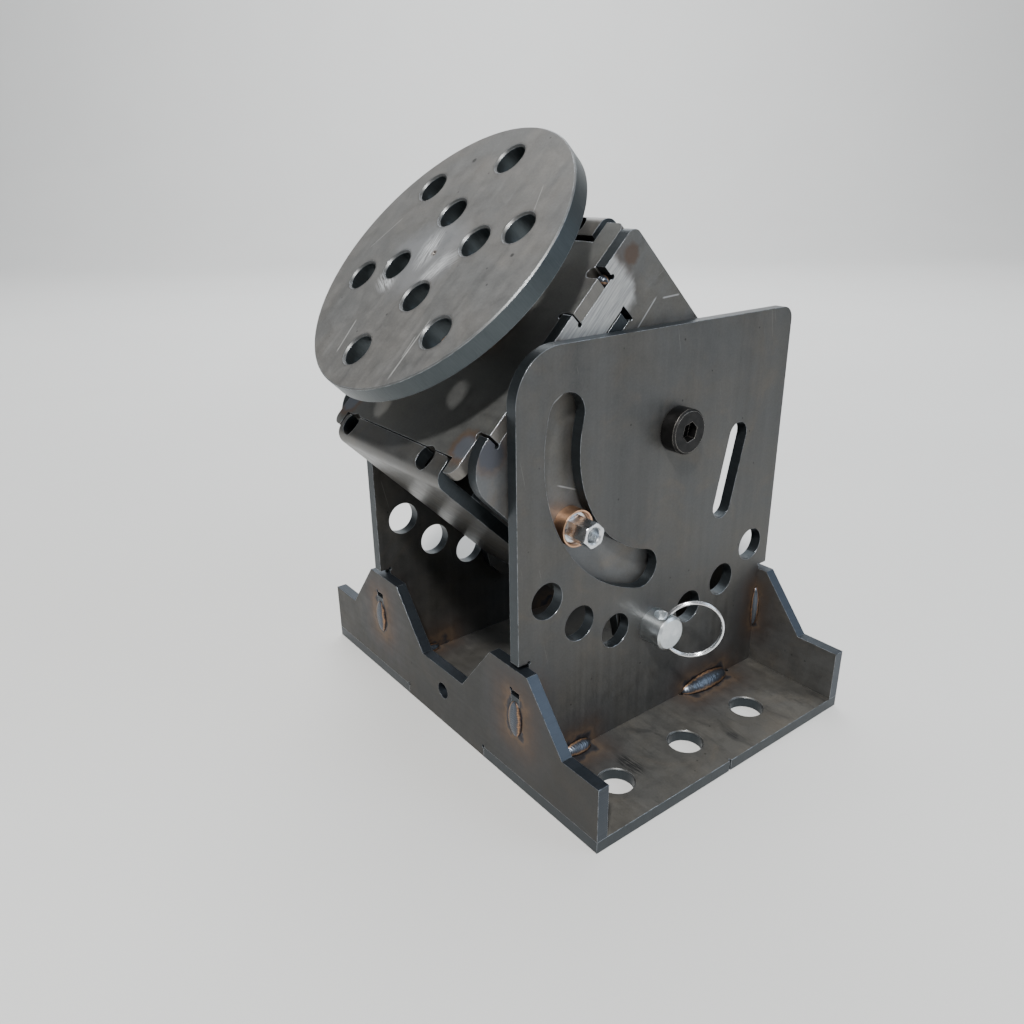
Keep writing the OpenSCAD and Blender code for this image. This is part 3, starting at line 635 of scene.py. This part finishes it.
class Beads:
    """Weld beads of one CAD node, as one mesh with solidified ripples."""

    def __init__(self):
        self.verts, self.faces, self.tags = [], [], []

    def grid(self, rows):
        """A closed lofted bead: rows of (point, across 0..1, ripple 0..1)."""
        start = len(self.verts)
        n = len(rows[0])
        for row in rows:
            for p, a, r in row:
                self.verts.append(tuple(c * MM for c in p))
                self.tags.append((a, r, 0.0, 1.0))
        for i in range(len(rows) - 1):
            for j in range(n):
                k = (j + 1) % n
                self.faces.append((start + i * n + j, start + i * n + k,
                                   start + (i + 1) * n + k,
                                   start + (i + 1) * n + j))
        self.faces.append(tuple(start + j for j in reversed(range(n))))
        self.faces.append(tuple(start + (len(rows) - 1) * n + j
                                for j in range(n)))

    def ripple(self, s, t, pitch, seed):
        """Height of the ripples: crescents that lag at the sides."""
        x = (s + 0.9 * t * t) / pitch + 0.13 * math.sin(seed + 1.7 * s)
        f = x - math.floor(x)
        return f ** 0.6 * (1.0 - max(0.0, f - 0.86) / 0.14)

    def lens(self, at, along, across, up, length, half_w, height, pitch=1.15,
             seed=0.0):
        """A bead on a flat face, pointed at both ends."""
        at, along, across, up = (Vector(k) for k in (at, along, across, up))
        rows = []
        for i in range(61):
            s = -0.995 + 1.99 * i / 60
            w = half_w * (1 - s * s) ** 0.55
            h = height * (1 - s * s) ** 0.6
            row = []
            for j in range(17):
                t = -1 + 2 * j / 16
                rp = self.ripple(s * length / 2, t * half_w / 2.2, pitch, seed)
                rise = max(0.0, 1 - t * t) ** 0.5
                hh = h * rise * (0.86 + 0.14 * rp)
                p = (at + along * (s * length / 2) + across * (t * w)
                     + up * hh)
                row.append((p, abs(t), rp))
            for t in (0.9, -0.9):
                row.append((at + along * (s * length / 2) + across * (t * w)
                            - up * 0.25, 1.0, 0.0))
            rows.append(row)
        self.grid(rows)

    def fillet(self, corner, along, a, b, length, leg, pitch=1.3, seed=0.0):
        """A bead in the corner of two walls that run along a and b."""
        corner, along, a, b = (Vector(k) for k in (corner, along, a, b))
        rows = []
        for i in range(71):
            s = -0.995 + 1.99 * i / 70
            size = leg * (1 - s * s) ** 0.45
            row = []
            for j in range(15):
                th = math.pi / 2 * j / 14
                t = 2 * j / 14 - 1
                rp = self.ripple(s * length / 2, t * 1.6, pitch, seed)
                rad = size * (0.50 + 0.47 / (math.cos(th) + math.sin(th)))
                rad *= 0.93 + 0.07 * rp * (1 - t * t)
                p = (corner + along * (s * length / 2)
                     + a * (rad * math.cos(th)) + b * (rad * math.sin(th)))
                row.append((p, abs(t), rp))
            row.append((corner + along * (s * length / 2), 1.0, 0.0))
            rows.append(row)
        self.grid(rows)

    def build(self, name, node, body):
        mesh = bpy.data.meshes.new(name)
        mesh.from_pydata(self.verts, [], self.faces)
        attr = mesh.attributes.new("bead", "FLOAT_COLOR", "POINT")
        for i, tag in enumerate(self.tags):
            attr.data[i].color = tag
        mesh.materials.append(BEAD)
        for poly in mesh.polygons:
            poly.use_smooth = len(poly.vertices) == 4
        mesh.update()
        ob = bpy.data.objects.new(name, mesh)
        bpy.context.scene.collection.objects.link(ob)
        fix = ob.modifiers.new("weighted", "WEIGHTED_NORMAL")
        fix.keep_sharp = True
        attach(ob, body)
        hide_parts(node)
        return ob


def mirrored(p, sx):
    return (sx * p[0], p[1], p[2])


plugs = Beads()
for sx in (-1, 1):
    for sy in (-1, 1):
        plugs.lens((sx * UPRIGHT_X, sy * END_Y, 40.0), Z, mirrored(X, sx),
                   (0.0, sy, 0.0), 20.6, 5.4, 1.8, 1.2, 3 * sx + sy)
plugs.build("plug_beads", "plug_welds", "stand")

feet = Beads()
for sx in (-1, 1):
    out = mirrored(X, sx)
    inn = mirrored(X, -sx)
    feet.fillet((sx * OUT_X, -56.0, PLATE_TOP), Y, out, Z, 18.6, 6.0, 1.5,
                1 + sx)
    feet.fillet((sx * OUT_X, 44.5, PLATE_TOP), Y, out, Z, 37.4, 8.2, 1.5,
                5 + sx)
    for y in (-66.0, 60.0):
        feet.fillet((sx * IN_X, y, PLATE_TOP), Y, inn, Z, 19.6, 4.7, 1.4, y)
    feet.fillet((sx * OUT_X, 87.35, 43.0), Z, out, (0, -1, 0), 25.6, 3.8, 1.3,
                8 + sx)
    feet.fillet((sx * IN_X, -87.35, 40.0), Z, inn, (0, 1, 0), 23.6, 3.8, 1.3,
                2 + sx)
feet.build("foot_beads", "base_welds", "stand")



def cradle_point(x, v, n):
    """A place in the cradle's x, V, N, in mm of the frame."""
    return tuple(PIVOT[i] + x * X[i] + v * V[i] + n * N[i] for i in range(3))


joints = Beads()
DOWN = tuple(-c for c in N)                   # from the cradle's plates
for sx in (-1, 1):
    inn = mirrored(X, -sx)
    for v, length, n, up, leg in ((-70.0, 17.6, TOP_UNDER_N, DOWN, 4.2),
                                  (-20.0, 25.6, TOP_UNDER_N, DOWN, 3.8),
                                  (30.0, 13.6, LOWER_UNDER_N, DOWN, 3.8),
                                  (-48.0, 21.6, LOWER_TOP_N, N, 3.8)):
        joints.fillet(cradle_point(sx * CRADLE_IN_X, v, n), V, inn, up,
                      length, leg, 1.4, v)
    joints.lens(cradle_point(sx * 59.4, 22.2, 81.6), mirrored(X, sx), V, N,
                6.2, 2.9, 3.6, 1.2, sx)
joints.build("cradle_beads", "cradle_welds", "cradle")

# ---------------------------------------------------------------- stage
def stage_material():
    g = Graph("studio_floor")
    q = g.coords(X, Y, Z, 0.0)
    f = g.noise(q, 260.0, 2.0)
    c = g.mix(f, (0.61, 0.61, 0.60), (0.64, 0.64, 0.63))
    return g.finish(c, 0.7, None, 0.0)


def stage_sweep():
    """Pale floor that curves up into a backdrop behind the object."""
    view = Vector((-0.797, 0.603, 0.0)).normalized()
    side = Vector((view.y, -view.x, 0.0))
    profile = [(-16.0, 0.0), (2.4, 0.0)]
    for i in range(1, 13):
        a = math.pi / 2 * i / 12
        profile.append((2.4 + 1.2 * math.sin(a), 1.2 - 1.2 * math.cos(a)))
    profile.append((3.6, 5.0))
    verts, faces = [], []
    for d, z in profile:
        for w in (-16.0, 16.0):
            verts.append(tuple(view * d + side * w
                               + Vector((0, 0, z - 0.0002))))
    for i in range(len(profile) - 1):
        faces.append((2 * i, 2 * i + 2, 2 * i + 3, 2 * i + 1))
    mesh = bpy.data.meshes.new("floor")
    mesh.from_pydata(verts, [], faces)
    for poly in mesh.polygons:
        poly.use_smooth = True
    mesh.materials.append(stage_material())
    ob = bpy.data.objects.new("floor", mesh)
    bpy.context.scene.collection.objects.link(ob)


stage_sweep()


def area(name, at, aim, size, power, color=(1, 1, 1), size_y=None):
    data = bpy.data.lights.new(name, "AREA")
    data.shape = "RECTANGLE"
    data.size = size
    data.size_y = size_y or size
    data.energy = power
    data.color = color
    ob = bpy.data.objects.new(name, data)
    bpy.context.scene.collection.objects.link(ob)
    ob.location = at
    way = Vector(aim) - Vector(at)
    ob.rotation_euler = way.to_track_quat("-Z", "Y").to_euler()


KEY = Vector((0.44, -0.47, 0.765)).normalized() * 2.2
area("key", KEY + Vector((0.0, 0.0, 0.12)), (0.0, 0.0, 0.12), 0.17, 78.0,
     (1.0, 0.985, 0.96))
area("backdrop", (-1.0, 0.76, 2.6), (-2.87, 2.17, 0.9), 2.4, 140.0,
     (0.97, 0.985, 1.0))
area("sky_right", (1.5, 1.1, 1.15), (0.0, 0.0, 0.12), 1.1, 14.0,
     (0.72, 0.85, 1.0))

area("fill_back", (-1.5, 1.2, 1.5), (0.0, 0.0, 0.12), 1.2, 9.0,
     (0.92, 0.96, 1.0))

world = bpy.data.worlds.new("studio")
world.use_nodes = True
sky = world.node_tree.nodes["Background"].inputs
sky[0].default_value = (0.86, 0.90, 0.94, 1)
sky[1].default_value = 0.34
bpy.context.scene.world = world

cam = bpy.data.cameras.new("camera")
cam.sensor_width = 36.0
cam.lens = 29.7459
cam.clip_start = 0.01
cam_ob = bpy.data.objects.new("camera", cam)
bpy.context.scene.collection.objects.link(cam_ob)
RIGHT = (0.607611, 0.794121, -0.013456)
UP = (-0.290617, 0.238066, 0.926750)
BACK = (0.739155, -0.559193, 0.375437)
pose = Matrix([(RIGHT[i], UP[i], BACK[i], 0.0) for i in range(3)]
              + [(0.0, 0.0, 0.0, 1.0)])
cam_ob.matrix_world = Matrix.Translation((0.34442, -0.30403, 0.29134)) @ pose
bpy.context.scene.camera = cam_ob
